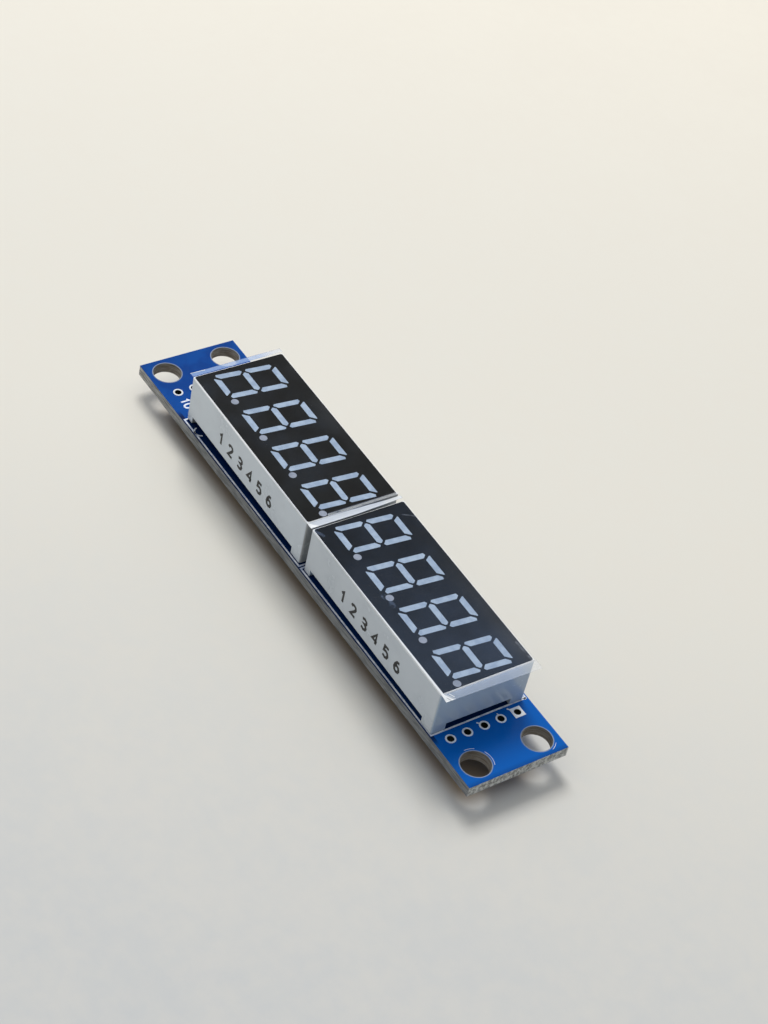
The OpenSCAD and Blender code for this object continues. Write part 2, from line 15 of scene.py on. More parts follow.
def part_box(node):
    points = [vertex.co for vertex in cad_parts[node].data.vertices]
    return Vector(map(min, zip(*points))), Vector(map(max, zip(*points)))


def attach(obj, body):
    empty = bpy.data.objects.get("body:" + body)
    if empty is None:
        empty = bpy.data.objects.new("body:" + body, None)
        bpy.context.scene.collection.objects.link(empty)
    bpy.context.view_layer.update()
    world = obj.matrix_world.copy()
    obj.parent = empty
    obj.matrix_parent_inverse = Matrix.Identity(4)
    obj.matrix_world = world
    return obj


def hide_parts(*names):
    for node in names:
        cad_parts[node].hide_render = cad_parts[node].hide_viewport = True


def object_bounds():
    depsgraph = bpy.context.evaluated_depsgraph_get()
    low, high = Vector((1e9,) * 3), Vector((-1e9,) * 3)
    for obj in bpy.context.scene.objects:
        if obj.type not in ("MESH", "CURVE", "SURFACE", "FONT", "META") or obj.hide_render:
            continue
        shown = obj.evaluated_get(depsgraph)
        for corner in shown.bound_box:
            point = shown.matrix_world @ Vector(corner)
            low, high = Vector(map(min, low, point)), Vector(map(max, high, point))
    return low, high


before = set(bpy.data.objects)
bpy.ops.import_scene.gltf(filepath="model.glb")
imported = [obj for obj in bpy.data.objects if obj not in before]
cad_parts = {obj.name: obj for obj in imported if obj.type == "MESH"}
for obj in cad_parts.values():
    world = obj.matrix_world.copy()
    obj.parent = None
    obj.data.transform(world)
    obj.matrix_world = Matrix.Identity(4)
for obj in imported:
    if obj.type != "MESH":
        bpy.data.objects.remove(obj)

cad_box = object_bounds()
MM = 0.001
print(len(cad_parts), "solid groups, box in mm", [round(c / MM, 2) for v in cad_box for c in v])

# %% [markdown]
# ## The camera
# The picture was taken from the lower right corner, 43 degrees above the table, with the
# camera rolled a little. A long lens keeps the long edges nearly parallel. The position is
# given as numbers, because it was found by fitting the board's corners and holes.

# %% Camera
AZIMUTH, ELEVATION, ROLL = math.radians(-42.365), math.radians(43.014), math.radians(13.5375)
FOCAL_PIXELS, FRAME_PIXELS = 2174.19, 1024
camera = bpy.data.objects.new("camera", bpy.data.cameras.new("camera"))
bpy.context.scene.collection.objects.link(camera)
back = Vector((math.cos(ELEVATION) * math.cos(AZIMUTH),
               math.cos(ELEVATION) * math.sin(AZIMUTH), math.sin(ELEVATION)))
camera.location = Vector((153.583, -133.897, 201.545)) * MM
camera.rotation_mode = "QUATERNION"
camera.rotation_quaternion = (-back).to_track_quat("-Z", "Y") @ Quaternion((0, 0, 1), ROLL)
camera.data.sensor_width = 36
camera.data.lens = FOCAL_PIXELS * camera.data.sensor_width / FRAME_PIXELS
camera.data.clip_start, camera.data.clip_end = 0.01, 20
bpy.context.scene.camera = camera
bpy.context.scene.view_settings.view_transform = "Standard"
print("lens", round(camera.data.lens, 1), "mm")

# %% [markdown]
# ## A shorthand for shader sums
# A finish is a sum of small masks: where the blue mask lies, how far a point is from a hole.
# Wiring Math nodes by hand hides that sum, so `Wire` wraps a socket and lets Python's own
# operators add the nodes. `Finish` holds one material and adds every other kind of node.


# %% Wires and finishes
class Wire:
    """A socket that stands in a Python sum: each operator adds one Math node."""

    def __init__(self, finish, socket):
        self.finish, self.socket = finish, socket

    def math(self, operation, *values):
        return self.finish.node("ShaderNodeMath", {"operation": operation}, dict(enumerate(values)))

    def __add__(self, other):
        return self.math("ADD", self, other)

    def __sub__(self, other):
        return self.math("SUBTRACT", self, other)

    def __rsub__(self, other):
        return self.math("SUBTRACT", other, self)

    def __mul__(self, other):
        return self.math("MULTIPLY", self, other)

    def __truediv__(self, other):
        return self.math("DIVIDE", self, other)

    def __pow__(self, other):
        return self.math("POWER", self, other)

    def __lt__(self, other):
        return self.math("LESS_THAN", self, other)

    def __gt__(self, other):
        return self.math("GREATER_THAN", self, other)

    def __abs__(self):
        return self.math("ABSOLUTE", self)

    __radd__, __rmul__ = __add__, __mul__


def srgb(red, green, blue):
    """A colour given as screen values from 0 to 255, as the linear light that a socket takes."""
    c = np.array([red, green, blue]) / 255
    linear = np.where(c <= 0.04045, c / 12.92, ((c + 0.055) / 1.055) ** 2.4)
    return (*linear.tolist(), 1.0)


class Graph:
    """A node tree that adds a node in one call, and the two nodes that masks need most."""

    def __init__(self, tree):
        self.tree = tree

    def set(self, node, values):
        """Fills a node's sockets, each found by its number, identifier or name, with a value or a wire."""
        for key, value in values.items():
            found = [s for i, s in enumerate(node.inputs) if key in (i, s.identifier, s.name)]
            if isinstance(value, Wire):
                self.tree.links.new(value.socket, found[0])
            else:
                found[0].default_value = value

    def node(self, kind, settings=None, inputs=None, output=0):
        """Adds a node: its settings first, then its sockets. Gives the wire of one output."""
        made = self.tree.nodes.new(kind)
        for key, value in (settings or {}).items():
            setattr(made, key, value)
        self.set(made, inputs or {})
        return Wire(self, made.outputs[output])

    def between(self, value, low, high):
        """0 below low and 1 above high, with a smooth step from one to the other."""
        return self.node("ShaderNodeMapRange", {"interpolation_type": "SMOOTHSTEP"},
                         {"Value": value, "From Min": low, "From Max": high})

    def mix(self, mask, below, above):
        """Colour below where the mask is 0 and colour above where it is 1."""
        return self.node("ShaderNodeMix", {"data_type": "RGBA"},
                         {"Factor_Float": mask, "A_Color": below, "B_Color": above}, output=2)


class Finish(Graph):
    """One material: its Principled shader, and object coordinates measured in millimetres."""

    def __init__(self, name, color=(200, 200, 200), **sockets):
        self.material = bpy.data.materials.new(name)
        self.material.use_nodes = True
        super().__init__(self.material.node_tree)
        self.shader = self.tree.nodes["Principled BSDF"]
        self.output = self.tree.nodes["Material Output"]
        self.surface(Base_Color=srgb(*color), **sockets)
        metres = self.node("ShaderNodeTexCoord", output="Object")
        self.place = self.node("ShaderNodeVectorMath", {"operation": "SCALE"},
                               {"Vector": metres, "Scale": 1 / MM})
        self.x, self.y, self.z = (self.node("ShaderNodeSeparateXYZ", inputs={0: self.place}, output=axis)
                                  for axis in range(3))

    def surface(self, **sockets):
        """Sets the shader's sockets, with _ for each space in their names."""
        self.set(self.shader, {key.replace("_", " "): value for key, value in sockets.items()})

    def noise(self, per_mm, detail=3, stretch=(1, 1, 1), rough=0.55):
        """Cloudy noise from 0 to 1 about 0.5, with per_mm patches in a millimetre."""
        at = self.node("ShaderNodeVectorMath", {"operation": "MULTIPLY"}, {0: self.place, 1: stretch})
        return self.node("ShaderNodeTexNoise", inputs={"Vector": at, "Scale": per_mm, "Detail": detail,
                                                       "Roughness": rough})

    def bump(self, height, depth_mm, strength=1.0):
        """Relief of a given depth where height is 1."""
        self.surface(Normal=self.node("ShaderNodeBump", inputs={"Height": height, "Distance": depth_mm * MM,
                                                                "Strength": strength}))

    def on(self, *names):
        """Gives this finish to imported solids."""
        for name in names:
            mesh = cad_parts[name].data
            mesh.materials.clear()
            mesh.materials.append(self.material)
        print(self.material.name, "on", ", ".join(names))


def both(name):
    """The left and right copy of a display's solid."""
    return [f"{side}_{name}" for side in ("left", "right")]


# %% [markdown]
# ## The table
# The table is a pale matt sheet whose colour carries painted light and shade: it turns from
# cool grey near the camera to warm white far away. Uneven lamps could do that too, but then
# the module would be lit unevenly as well, so the change is painted. Light gets under the
# board only in many bounces, which turn it brown, so a painted shadow, darker and browner,
# lies along that strip.

# %% Table
TABLE_SIDE = 4
resting_level = cad_box[0].z
table_mesh = bpy.data.meshes.new("table")
corner = np.array([[-1, -1], [1, -1], [1, 1], [-1, 1]]) * TABLE_SIDE / 2
table_mesh.from_pydata([(x, y, resting_level) for x, y in corner.tolist()], [], [(0, 1, 2, 3)])
table = bpy.data.objects.new("table", table_mesh)
bpy.context.scene.collection.objects.link(table)

paper = Finish("table_paper", Roughness=0.6, Specular_IOR_Level=0.25)
far_off = paper.y - paper.x
grain = paper.between(paper.noise(0.06, 2) * 0.5 + paper.noise(0.4, 4) * 0.5, 0.3, 0.7)
# painted light and shade: darker and cooler near the camera, paler and warmer far away
tone = paper.mix(paper.between(far_off, -130, 40), srgb(197, 200, 202), srgb(221, 219, 211))
tone = paper.mix(paper.between(far_off, 40, 330), tone, srgb(230, 225, 213))
tone = paper.mix(grain * 0.3, tone, srgb(222, 217, 207))

# Painted shadow on the strip under the board, whose outline runs from -41 to 41 and from -7.5 to 7.5 mm.
painted_shadow_under_board = (1 - paper.between(paper.y, 1.5, 6.5)) * paper.between(paper.y, -8.6, -5.6)
painted_shadow_under_board = painted_shadow_under_board * (1 - paper.between(paper.x, 37.8, 42.3)) * paper.between(paper.x, -38, -31)
paper.surface(Base_Color=paper.mix(painted_shadow_under_board * 0.9, tone, srgb(150, 127, 95)))
table_mesh.materials.append(paper.material)
print("table at z =", round(resting_level / MM, 3), "mm")

# %% [markdown]
# ## The light
# The light is soft: a sky that is bright behind and to the left of the board and dim at the
# right, where the camera stands, and one large lamp behind. That leaves the near end walls in
# shade, as they are on the real module. The camera sees no sky, and neither do rays that
# metal mirrors or clear film lets through: they all meet a plain pale backdrop, so that the
# picture stays bright and no more light than needed falls on the module.

# %% Sky and lamp
world = bpy.data.worlds.new("sky")
world.use_nodes = True
bpy.context.scene.world = world
sky = Graph(world.node_tree)
direction = sky.node("ShaderNodeTexCoord", output="Generated")
BRIGHT_SIDE = (-0.74, 0.18, 0.65)
toward_light = sky.node("ShaderNodeVectorMath", {"operation": "DOT_PRODUCT"},
                        {0: direction, 1: BRIGHT_SIDE}, output="Value")
glow = sky.mix(sky.between(toward_light, -0.55, 0.9), (0.09, 0.10, 0.11, 1), (0.74, 0.75, 0.76, 1))
lights = sky.node("ShaderNodeBackground", inputs={"Color": glow})
shows = sky.node("ShaderNodeBackground", inputs={"Color": (0.86, 0.84, 0.80, 1)})
camera_ray, glossy_ray, passing_ray = (sky.node("ShaderNodeLightPath", output=f"Is {kind} Ray")
                                       for kind in ("Camera", "Glossy", "Transmission"))
seen = camera_ray + glossy_ray + passing_ray
sky.set(sky.tree.nodes["World Output"],
        {"Surface": sky.node("ShaderNodeMixShader", inputs={0: seen, 1: lights, 2: shows})})


def lamp(name, toward, distance, side, power, color):
    """A square lamp that hangs in a given direction and faces the module."""
    light = bpy.data.lights.new(name, "AREA")
    light.size, light.energy, light.color = side, power, color
    hung = bpy.data.objects.new(name, light)
    away = Vector(toward).normalized()
    hung.location = away * distance
    hung.rotation_mode = "QUATERNION"
    hung.rotation_quaternion = away.to_track_quat("Z", "Y")
    bpy.context.scene.collection.objects.link(hung)
    return hung


main_lamp = lamp("lamp_behind", (-0.55, 0.22, 0.80), distance=0.9, side=0.34, power=5.4,
                 color=(1.0, 0.98, 0.95))
main_lamp.visible_glossy = False        # the glossy board would mirror it as a white patch
print("sky and", main_lamp.name, "ready")

# %% [markdown]
# ## Blue mask on the board
# The laminate is blue on both faces, where solder mask covers it, and shows glass and resin
# only where it is sawn: round the outside, and in the holes. A second material for some of
# its faces would do, but the solid comes as loose triangles and stays as it is. So one
# finish does both, because a point's height says which it is on. The pale ring round each
# mounting hole is where the drill broke the mask, found from the distance to the hole. The
# blue carries painted shade: it is deepest beneath the displays and along the strip at their
# foot, and darker towards the far end. It is also darker in a thin band along the near end.
# A painted highlight makes it palest on the rim along the two edges away from the camera.

# %% Blue mask
BOARD_TOP, BOARD_BOTTOM = 4.15, 2.55
EDGE_X, EDGE_Y, SLOT_X = 41.0, 7.5, 1.6
MOUNT_X, MOUNT_Y, MOUNT_R = 38.25, 4.65, 2.0
board = Finish("board_mask_and_laminate", IOR=1.5, Specular_IOR_Level=0.1)
masked = (board.z > BOARD_TOP - 0.015) + (board.z < BOARD_BOTTOM + 0.015)
ring_x, ring_y = abs(board.x) - MOUNT_X, abs(board.y) - MOUNT_Y
from_hole = (ring_x * ring_x + ring_y * ring_y) ** 0.5
chipped = 1 - board.between(from_hole + (board.noise(3) - 0.5) * 0.08, MOUNT_R + 0.07, MOUNT_R + 0.16)
# painted highlight along the +Y edge and the far end
painted_rim_highlight = board.between(board.y, EDGE_Y - 0.10, EDGE_Y - 0.02)
painted_rim_highlight = painted_rim_highlight + (1 - board.between(board.x, 0.02 - EDGE_X, 0.10 - EDGE_X))
near_end = board.between(board.x, EDGE_X - 0.8, EDGE_X - 0.1)
from_slot = abs(board.x - SLOT_X)
# painted shade along the foot of the displays, on the side towards the camera
painted_shade_at_foot = (1 - board.between(board.y, -7.0, -6.9)) * (1 - board.between(from_slot, 31.0, 32.5))
cloud = board.between(board.noise(0.35, 2), 0.35, 0.65)
# painted shade on the board beneath the displays
painted_shade_under_displays = (1 - board.between(abs(board.y), 6.9, 7.0)) * (1 - board.between(from_slot, 30.5, 30.6)) * (board.z > 3)
# painted shade: the blue is darker towards the far end
blue = board.mix(board.between(board.x, -EDGE_X, EDGE_X), srgb(0, 58, 132), srgb(0, 90, 178))
blue = board.mix(cloud * 0.25, blue, srgb(4, 92, 178))
blue = board.mix(near_end * 0.5, blue, srgb(0, 56, 120))
blue = board.mix(painted_rim_highlight * 0.35, blue, srgb(110, 160, 225))
blue = board.mix(chipped * 0.8, blue, srgb(150, 160, 172))
blue = board.mix(painted_shade_at_foot * 0.85, blue, srgb(4, 20, 58))
blue = board.mix(painted_shade_under_displays * 0.85, blue, srgb(4, 18, 54))
print("mask between", BOARD_BOTTOM, "and", BOARD_TOP, "mm")

# %% [markdown]
# ## Sawn laminate
# A sawn edge shows the layers of glass as fine streaks along the board, and the ends, where
# the board was snapped from its panel, show torn pale fibres. Both are noise: one is drawn
# out along the board and pressed flat in height, and the other is left nearly round. The
# same noise raises the relief, so that what looks torn is rough as well.

# %% Sawn laminate
layers = board.between(board.noise(5, 4, (0.12, 0.12, 1.6)), 0.38, 0.62)
sawn = board.mix(layers, srgb(122, 122, 120), srgb(182, 184, 183))
torn = board.between(board.noise(2.2, 5, (1, 1, 0.7), 0.7), 0.42, 0.58)
torn = torn * board.between(abs(board.x), EDGE_X - 0.10, EDGE_X - 0.05)
sawn = board.mix(torn * 0.9, sawn, srgb(226, 228, 226))
bored = 1 - board.between(from_hole, MOUNT_R + 0.02, MOUNT_R + 0.05)
painted_shade_long_sides = board.between(abs(board.y), EDGE_Y - 0.05, EDGE_Y - 0.01)
# painted shade: the long sawn sides are darker, fading out towards the far end
sawn = board.mix(painted_shade_long_sides * board.between(board.x, -39, -24) * 0.52, sawn, srgb(84, 90, 98))
sawn = board.mix(bored * 0.5, sawn, srgb(128, 112, 92))
board.surface(Base_Color=board.mix(masked, sawn, blue), Roughness=0.6 - masked * 0.42)
relief = masked * 0.5 + (1 - masked) * layers * 0.4 + torn * 0.6 + masked * board.noise(0.8, 1) * 0.05
board.bump(relief, 0.05, 0.8)
board.on("circuit_board")

# %% [markdown]
# ## Tinned metal
# Pads, pins, leads and solder are all tin over copper, but tin that was dipped is lumpy and
# tin that was plated is even. So one function makes the metal, and takes how coarse its
# relief is and how dull it has become. Inside a hole the plating sees no light, so the pads
# are dark between the two faces of the board.


# %% Metal finishes
def tin(name, color, rough, lump_per_mm, lump_mm):
    """Silvery metal whose relief has lump_per_mm lumps in a millimetre, each lump_mm deep."""
    metal = Finish(name, Metallic=1.0)
    lumps = metal.noise(lump_per_mm, 3)
    dull = metal.between(metal.noise(lump_per_mm * 0.6, 2), 0.35, 0.7)
    metal.surface(Base_Color=metal.mix(dull, srgb(*color), srgb(*(c * 0.84 for c in color))),
                  Roughness=rough + dull * 0.15)
    metal.bump(lumps, lump_mm, 0.7)
    return metal


BRIGHT_TIN = (232, 238, 246)
pads = tin("tinned_pads", BRIGHT_TIN, 0.34, 2.2, 0.02)
in_hole = (pads.z < BOARD_TOP - 0.01) * (pads.z > BOARD_BOTTOM + 0.01)
pads.surface(Base_Color=pads.mix(in_hole, srgb(*BRIGHT_TIN), srgb(38, 44, 40)), Metallic=0.7 - in_hole * 0.4)
pads.on(*both("header_pads"), *both("display_pads"))

tin("pin_metal", (214, 214, 210), 0.24, 1.5, 0.01).on(*both("display_pins"))
tin("solder", (206, 209, 214), 0.22, 1.6, 0.03).on(*both("pin_solder"), "driver_solder", "small_part_solder")
tin("lead_plating", (208, 209, 212), 0.34, 3.0, 0.006).on("driver_leads")
tin("end_plating", (216, 217, 220), 0.38, 4.0, 0.008).on("resistor_caps", "small_capacitor_caps",
                                                         "bulk_capacitor_tabs")

# %% [markdown]
# ## Display housing
# The reflector is one moulding in pale grey plastic. It is satin, with a fine grain from the
# mould, and handling has left faint smudges. The walls are darker low down, near the board.
# Its top rim is bare, because the black face stops short of the edge, and a painted highlight
# makes it a white line. Beside the slot the rim is painted dark. The walls at the right ends
# have painted shade and a painted reflection, for they face away from the light and take on
# the colour of what lies before them: a face's own direction, its normal, tells them from the
# rest.

# %% Housing finish
TURN = math.radians(-0.65)


def seat(side):
    """Middle of a display in plan and the level of its feet, in millimetres."""
    box_low, box_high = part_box(f"{side}_housing")
    middle = (box_low + box_high) / 2 / MM
    return np.array([middle.x, middle.y, box_low.z / MM])


def face_level(side):
    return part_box(f"{side}_housing")[1].z / MM


PLASTIC_TONES = {"left": (srgb(209, 219, 229), srgb(194, 203, 213)),
                 "right": (srgb(201, 210, 219), srgb(186, 195, 205))}
# painted shade on the walls at the right ends, and on the right display a painted reflection of the blue board
END_SHADE_AND_REFLECTION = {"left": srgb(160, 163, 165), "right": srgb(180, 200, 220)}

for side in ("left", "right"):
    plastic = Finish(f"{side}_housing_plastic", IOR=1.5)
    top = face_level(side)
    edge = plastic.between(plastic.z, top - 0.20, top - 0.12)
    smudge = plastic.between(plastic.noise(0.22, 4), 0.42, 0.75)
    # the wall is darker low down, near the board
    darker_low_on_wall = 1 - plastic.between(plastic.z + plastic.noise(0.5, 3) * 1.2, BOARD_TOP + 0.5, BOARD_TOP + 2.6)
    shade = plastic.mix(smudge * 0.5, *PLASTIC_TONES[side])
    shade = plastic.mix(darker_low_on_wall * 0.3, shade, srgb(168, 170, 172))
    normal = plastic.node("ShaderNodeNewGeometry", output="Normal")
    to_the_right = plastic.node("ShaderNodeSeparateXYZ", inputs={0: normal})
    # painted shade and painted reflection on the walls that face the right end
    shaded_end = plastic.between(to_the_right, 0.4, 0.8) * (1 - edge)
    shade = plastic.mix(shaded_end, shade, END_SHADE_AND_REFLECTION[side])
    by_the_slot = 1 - plastic.between(abs(plastic.x - SLOT_X), 0.55, 0.75)
    # the rim is painted dark beside the slot
    dark_rim_by_slot = edge * by_the_slot * plastic.between(plastic.y, -6.5, 1.0)
    # the bare rim, painted whiter as a painted highlight
    shade = plastic.mix(edge, shade, srgb(240, 243, 246))
    shade = plastic.mix(dark_rim_by_slot * 0.9, shade, srgb(40, 44, 50))
    plastic.surface(Base_Color=shade, Roughness=0.18 + smudge * 0.14)
    plastic.bump(plastic.noise(9, 3), 0.002, 0.25)
    plastic.on(f"{side}_housing")

# %% [markdown]
# ## Black face, segments and points
# The face is a printed foil, nearly black. On the near display it has a colder tint, which is
# a painted sheen of reflected light. The segments are milky resin that looks lavender even
# when it is dark, and the points are cast in a greyer one. Each gets slow changes in tone,
# because flat colour would look like paper.

# %% Face finishes
foil = Finish("face_foil_black", IOR=1.45, Specular_IOR_Level=0.16)
haze = foil.between(foil.noise(0.16, 3), 0.35, 0.7)
far_tone = foil.mix(haze, srgb(14, 16, 18), srgb(22, 25, 28))
# painted sheen: the near display's face is bluer
near_tone_with_painted_sheen = foil.mix(haze, srgb(14, 21, 30), srgb(24, 32, 44))
foil.surface(Base_Color=foil.mix(foil.between(foil.x, 0, 3), far_tone, near_tone_with_painted_sheen), Roughness=0.3 + haze * 0.1)
foil.bump(foil.noise(14, 2), 0.002, 0.5)
foil.on(*both("face_foil"))


def resin(name, deep, pale, rough):
    """Milky casting resin, with clouds that run from a deep tone to a pale one."""
    cast = Finish(name, IOR=1.5, Roughness=rough)
    cloud = cast.between(cast.noise(0.9, 3), 0.3, 0.7)
    cast.surface(Base_Color=cast.mix(cloud, srgb(*deep), srgb(*pale)))
    cast.bump(cast.noise(3, 2), 0.006, 0.5)
    return cast


resin("segment_resin", (140, 160, 187), (162, 181, 204), 0.36).on(*both("segment_lenses"))
resin("point_resin", (128, 138, 156), (148, 156, 174), 0.4).on(*both("point_lenses"))
resin("back_resin", (196, 196, 190), (216, 216, 210), 0.3).on(*both("back_resin"))

carrier = Finish("led_carrier_board", IOR=1.5, Roughness=0.6)
weave = carrier.between(carrier.noise(4, 2, (1, 0.25, 1)) + carrier.noise(4, 2, (0.25, 1, 1)), 0.8, 1.2)
carrier.surface(Base_Color=carrier.mix(weave, srgb(206, 198, 164), srgb(222, 216, 188)))
carrier.on(*both("led_board"))

die = Finish("light_chip_crystal", IOR=1.7, Roughness=0.2)
DIE_LEVEL = 7.65
pale = die.between(abs(die.z - DIE_LEVEL), 0.0, 0.1)
die.surface(Base_Color=die.mix(pale, srgb(206, 170, 96), srgb(226, 200, 130)))
die.on(*both("light_chips"))

# %% [markdown]
# ## Parts under the board
# The driver's package is black epoxy with a matt, sandy skin. The resistor is a white
# ceramic tile with a black glaze on its open face, so the height of a point says which it
# is. The small capacitor is plain ceramic, and the bulk one is moulded in amber plastic
# with a brown band at its positive end.

# %% Small part finishes
epoxy = Finish("package_epoxy", IOR=1.55)
sand = epoxy.noise(11, 4, rough=0.7)
epoxy.surface(Base_Color=epoxy.mix(epoxy.between(sand, 0.35, 0.7), srgb(30, 30, 32), srgb(46, 46, 48)),
              Roughness=0.5 + sand * 0.25)
epoxy.bump(sand, 0.02, 0.7)
epoxy.on("driver_chip")

tile = Finish("resistor_tile", IOR=1.5)
GLAZE_LEVEL = 2.14
glazed = 1 - tile.between(tile.z, GLAZE_LEVEL - 0.02, GLAZE_LEVEL + 0.02)
speck = tile.noise(8, 3)
glaze = tile.mix(speck, srgb(22, 22, 24), srgb(40, 40, 44))
tile.surface(Base_Color=tile.mix(glazed, srgb(226, 224, 216), glaze), Roughness=0.55 - glazed * 0.3)
tile.bump(speck, 0.006, 0.5)
tile.on("resistor")

clay = Finish("capacitor_ceramic", IOR=1.6)
grog = clay.noise(9, 3)
clay.surface(Base_Color=clay.mix(grog, srgb(150, 118, 84), srgb(184, 152, 112)), Roughness=0.45 + grog * 0.2)
clay.bump(grog, 0.004, 0.5)
clay.on("small_capacitor")

amber = Finish("capacitor_moulding", IOR=1.55)
moulded = amber.noise(7, 3)
BAND_X = -29.27
band = amber.between(amber.x, BAND_X - 0.03, BAND_X + 0.03)
honey = amber.mix(moulded, srgb(214, 150, 40), srgb(228, 172, 66))
amber.surface(Base_Color=amber.mix(band, honey, srgb(96, 58, 30)), Roughness=0.42 + moulded * 0.2)
amber.bump(moulded, 0.005, 0.5)
amber.on("bulk_capacitor")

# %% [markdown]
# ## A mesh from arrays
# Everything that is added lies thin on a surface: ink, copper under mask, film. All of it is
# a grid of points, worked out as whole arrays, whose rows are joined by four-sided faces.
# One function turns such a grid into a closed mesh, so each piece only has to state its shape.


# %% Grid to mesh
def grid_faces(rows, columns, wrap_rows=False, wrap_columns=False):
    """Faces of a grid of points, row by row, turned round where it closes on itself."""
    r = np.arange(rows if wrap_rows else rows - 1)[:, None]
    c = np.arange(columns if wrap_columns else columns - 1)[None, :]
    r1, c1 = (r + 1) % rows, (c + 1) % columns
    corners = (r * columns + c, r * columns + c1, r1 * columns + c1, r1 * columns + c)
    return np.stack(corners, -1).reshape(-1, 4)


def piece(name, finish, points_mm, faces, smooth=False):
    """Adds a closed mesh to the module: its points in millimetres, riding on the one body."""
    mesh = bpy.data.meshes.new(name)
    mesh.from_pydata((points_mm.reshape(-1, 3) * MM).tolist(), [], faces)
    mesh.polygons.foreach_set("use_smooth", np.full(len(mesh.polygons), smooth))
    mesh.materials.append(finish.material)
    mesh.update()
    made = bpy.data.objects.new(name, mesh)
    bpy.context.scene.collection.objects.link(made)
    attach(made, "root")
    print(name, len(mesh.polygons), "faces")
    return made


# %% [markdown]
# ## Lines of ink
# The legend and the numbers are lines of one width, as a plotter draws them. A line is its
# own path in the plane, widened to both sides at right angles, with the corners mitred, and
# raised by the thickness of the ink. Blender's text could be made a mesh instead, but it
# has far more faces than print this small needs. The digits are a few strokes each, drawn
# for this lesson.


# %% Inked lines
def inked(path, width, thickness, closed=False):
    """A line's closed prism: at each path point, half the width to each side along the mitre,
    at two heights."""
    path = np.asarray(path, float)
    ahead = np.roll(path, -1, 0) - path
    behind = path - np.roll(path, 1, 0)
    if not closed:
        ahead[-1], behind[0] = behind[-1], ahead[0]
    ahead, behind = (v / np.linalg.norm(v, axis=1, keepdims=True) for v in (ahead, behind))
    normal = np.stack([-(ahead + behind)[:, 1], (ahead + behind)[:, 0]], 1)
    normal /= np.linalg.norm(normal, axis=1, keepdims=True)
    along = np.stack([-ahead[:, 1], ahead[:, 0]], 1)
    reach = width / 2 / np.clip((normal * along).sum(1, keepdims=True), 0.5, None)
    sides = np.stack([path - normal * reach, path + normal * reach], 1)
    base = np.concatenate([sides, sides[:, ::-1]], 1)
    height = np.broadcast_to(np.array([0, 0, 1, 1]) * thickness, base.shape[:2])
    points = np.concatenate([base, height[..., None]], -1)
    faces = grid_faces(len(path), 4, wrap_rows=closed, wrap_columns=True).tolist()
    if not closed:
        last = 4 * (len(path) - 1)
        faces += [[0, 1, 2, 3], [last + 3, last + 2, last + 1, last]]
    return points.reshape(-1, 3), faces


def gathered(lines):
    """Several closed prisms as one list of points and one of faces."""
    points, faces, count = [], [], 0
    for p, f in lines:
        points.append(p)
        faces += [[i + count for i in face] for face in f]
        count += len(p)
    return np.concatenate(points), faces


def arc(x, y, r, start, end, steps=24):
    """Points on a circle about x, y, from one angle to another in degrees."""
    a = np.radians(np.linspace(start, end, steps))
    return np.stack([x + r * np.cos(a), y + r * np.sin(a)], 1)


STROKES = {
    "1": [(0.12, 0.78), (0.36, 1), (0.36, 0)],
    "2": [(0.02, 0.78), (0.1, 0.94), (0.3, 1), (0.5, 0.94), (0.58, 0.76), (0.5, 0.56), (0.02, 0), (0.6, 0)],
    "3": [(0.02, 0.9), (0.3, 1), (0.53, 0.9), (0.57, 0.72), (0.46, 0.57), (0.22, 0.53), (0.47, 0.48),
          (0.6, 0.3), (0.53, 0.09), (0.3, 0), (0.02, 0.1)],
    "4": [(0.46, 0), (0.46, 1), (0, 0.3), (0.62, 0.3)],
    "5": [(0.56, 1), (0.08, 1), (0.05, 0.56), (0.3, 0.62), (0.52, 0.52), (0.6, 0.3), (0.5, 0.08),
          (0.28, 0), (0, 0.1)],
    "0": [(0.3, 1), (0.5, 0.92), (0.6, 0.68), (0.6, 0.32), (0.5, 0.08), (0.3, 0), (0.1, 0.08),
          (0, 0.32), (0, 0.68), (0.1, 0.92), (0.3, 1)],
    "7": [(0, 1), (0.6, 1), (0.24, 0)],
    "8": [(0.3, 0.54), (0.5, 0.64), (0.56, 0.8), (0.48, 0.95), (0.3, 1), (0.12, 0.95), (0.04, 0.8),
          (0.1, 0.64), (0.3, 0.54), (0.52, 0.43), (0.6, 0.25), (0.5, 0.06), (0.3, 0), (0.1, 0.06),
          (0, 0.25), (0.08, 0.43), (0.3, 0.54)],
    "9": [(0.08, 0.04), (0.32, 0.08), (0.52, 0.38), (0.58, 0.7), (0.48, 0.93), (0.28, 1), (0.08, 0.92),
          (0, 0.7), (0.1, 0.5), (0.3, 0.43), (0.54, 0.56)],
    "6": [(0.52, 0.96), (0.28, 0.92), (0.08, 0.62), (0.02, 0.3), (0.12, 0.07), (0.32, 0), (0.52, 0.08),
          (0.6, 0.3), (0.5, 0.5), (0.3, 0.57), (0.06, 0.44)],
}


def number(text, x, y, tall, width, thickness):
    """The strokes of a number's digits, as tall as given, the first with its lower left corner at x, y."""
    return [inked(np.array(STROKES[digit]) * tall + (x + 0.86 * tall * i, y), width, thickness)
            for i, digit in enumerate(text)]


# %% [markdown]
# ## Legend on the board
# White ink outlines each display and numbers the header holes at the far end. It lies on the
# mask and is a little worn, so its tone changes along the line. Thin arcs mark where the
# mask is nicked round the mounting holes at the near end.

# %% Legend
INK = 0.02
white = Finish("legend_ink", IOR=1.5, Roughness=0.55)
worn = white.between(white.noise(1.6, 3), 0.3, 0.62)
white.surface(Base_Color=white.mix(worn, srgb(186, 198, 222), srgb(236, 240, 246)))
white.bump(white.noise(6, 2), 0.01, 0.5)

